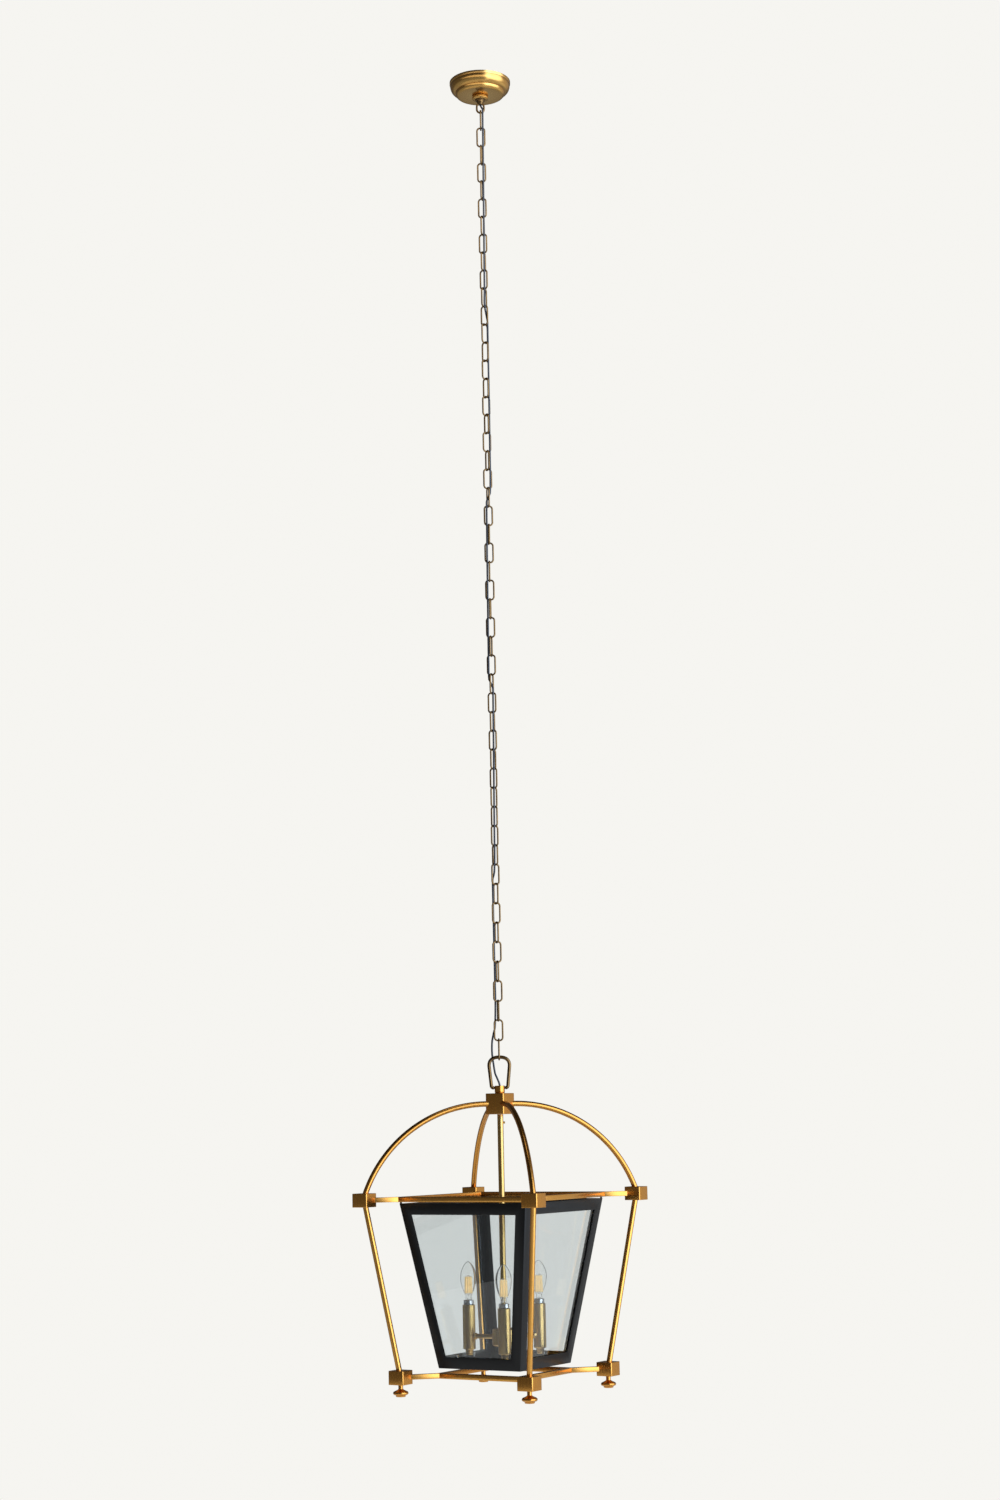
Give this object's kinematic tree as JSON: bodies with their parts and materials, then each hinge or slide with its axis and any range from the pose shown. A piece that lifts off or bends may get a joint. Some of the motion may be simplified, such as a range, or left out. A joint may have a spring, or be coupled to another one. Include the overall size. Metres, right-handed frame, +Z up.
{
  "type": "hanging lantern",
  "caption": "Square tapered glass lantern in a domed rod cage on button feet, hung by a stirrup and a long link chain from a round ceiling canopy, with candle lights inside.",
  "frame": {"origin": "centre of the ceiling plane, on top of the mounting strap", "axes": "+Z up along the hanging axis; X and Y square to the sides of the glass box"},
  "size_m": [0.463, 0.463, 2.949],
  "materials": {
    "brass": "aged brass, satin, darker in its hollows",
    "black_steel": "satin black paint",
    "steel": "zinc plated",
    "glass": "clear, polished",
    "bulb_glass": "clear, polished",
    "socket_black": "moulded",
    "cord": "smooth insulated flex"
  },
  "bodies": {
    "ceiling_fixing": {"mounting_strap": "steel", "strap_screw_1": "steel", "strap_screw_2": "steel", "threaded_nipple": "steel", "lock_nut": "steel", "canopy_loop": "brass"},
    "canopy": {"canopy": "brass"},
    "collar": {"canopy_collar": "brass"},
    "top_link": {"top_link": "brass"},
    "chain_upper": {"chain_upper": "brass"},
    "chain_middle": {"chain_middle": "brass", "power_cord": "cord"},
    "chain_lower": {"chain_lower": "brass"},
    "bottom_link": {"bottom_link": "brass"},
    "lantern_loop": {"lantern_loop": "brass"},
    "lantern": {"neck_block": "brass", "top_block": "brass", "arc_front": "brass", "arc_right": "brass", "arc_back": "brass", "arc_left": "brass", "top_corner_block_front": "brass", "top_corner_block_right": "brass", "top_corner_block_back": "brass", "top_corner_block_left": "brass", "post_front": "brass", "post_right": "brass", "post_back": "brass", "post_left": "brass", "bottom_corner_block_front": "brass", "bottom_corner_block_right": "brass", "bottom_corner_block_back": "brass", "bottom_corner_block_left": "brass", "foot_front": "brass", "foot_right": "brass", "foot_back": "brass", "foot_left": "brass", "top_ring": "brass", "bottom_ring": "brass", "stem": "brass", "stem_screw": "brass", "hub": "brass", "arm_1": "brass", "arm_2": "brass", "arm_3": "brass", "sleeve_1": "brass", "sleeve_2": "brass", "sleeve_3": "brass", "lantern_frame": "black_steel", "pane_front_left": "glass", "pane_front_right": "glass", "pane_back_right": "glass", "pane_back_left": "glass", "socket_1": "socket_black", "socket_2": "socket_black", "socket_3": "socket_black"},
    "bulb_1": {"bulb_1": "bulb_glass"},
    "bulb_2": {"bulb_2": "bulb_glass"},
    "bulb_3": {"bulb_3": "bulb_glass"}
  },
  "joints": [
    {"name": "canopy_slide", "type": "slide", "parent": "ceiling_fixing", "child": "canopy", "axis": [0, 0, -1], "range_m": [0, 0.028]},
    {"name": "collar_turn", "type": "hinge", "parent": "canopy", "child": "collar", "pos_m": [0, 0, -0.0347], "axis": [0, 0, 1], "continuous": true},
    {"name": "top_link_swing", "type": "hinge", "parent": "ceiling_fixing", "child": "top_link", "pos_m": [0, 0, -0.07425], "axis": [0.8387, 0.5446, 0], "range_deg": [-30, 30], "deforming": ["power_cord"]},
    {"name": "chain_upper_swing", "type": "hinge", "parent": "top_link", "child": "chain_upper", "pos_m": [0, 0, -0.1153], "axis": [-0.5446, 0.8387, 0], "range_deg": [-30, 30], "deforming": ["power_cord"]},
    {"name": "chain_middle_swing", "type": "hinge", "parent": "chain_upper", "child": "chain_middle", "pos_m": [0, 0, -0.7972], "axis": [0.4163, 0.9092, 0], "range_deg": [-30, 30], "deforming": ["power_cord"]},
    {"name": "chain_lower_swing", "type": "hinge", "parent": "chain_middle", "child": "chain_lower", "pos_m": [0, 0, -1.5218], "axis": [0.0732, -0.9973, 0], "range_deg": [-30, 30], "deforming": ["power_cord"]},
    {"name": "bottom_link_swing", "type": "hinge", "parent": "chain_lower", "child": "bottom_link", "pos_m": [0, 0, -2.2037], "axis": [-0.8028, -0.5962, 0], "range_deg": [-30, 30], "deforming": ["power_cord"]},
    {"name": "stirrup_swing", "type": "hinge", "parent": "bottom_link", "child": "lantern_loop", "pos_m": [0, 0, -2.2451], "axis": [0.5446, -0.8387, 0], "range_deg": [-30, 30], "deforming": ["power_cord"]},
    {"name": "lantern_swing", "type": "hinge", "parent": "lantern_loop", "child": "lantern", "pos_m": [0, 0, -2.3051], "axis": [0.8387, 0.5446, 0], "range_deg": [-45, 45], "deforming": ["power_cord"]},
    {"name": "bulb_1_turn", "type": "hinge", "parent": "lantern", "child": "bulb_1", "pos_m": [0.04727, -0.0728, -2.7678], "axis": [0, 0, 1], "continuous": true},
    {"name": "bulb_2_turn", "type": "hinge", "parent": "lantern", "child": "bulb_2", "pos_m": [0.03941, 0.07734, -2.7678], "axis": [0, 0, 1], "continuous": true},
    {"name": "bulb_3_turn", "type": "hinge", "parent": "lantern", "child": "bulb_3", "pos_m": [-0.08668, -0.00454, -2.7678], "axis": [0, 0, 1], "continuous": true}
  ]
}
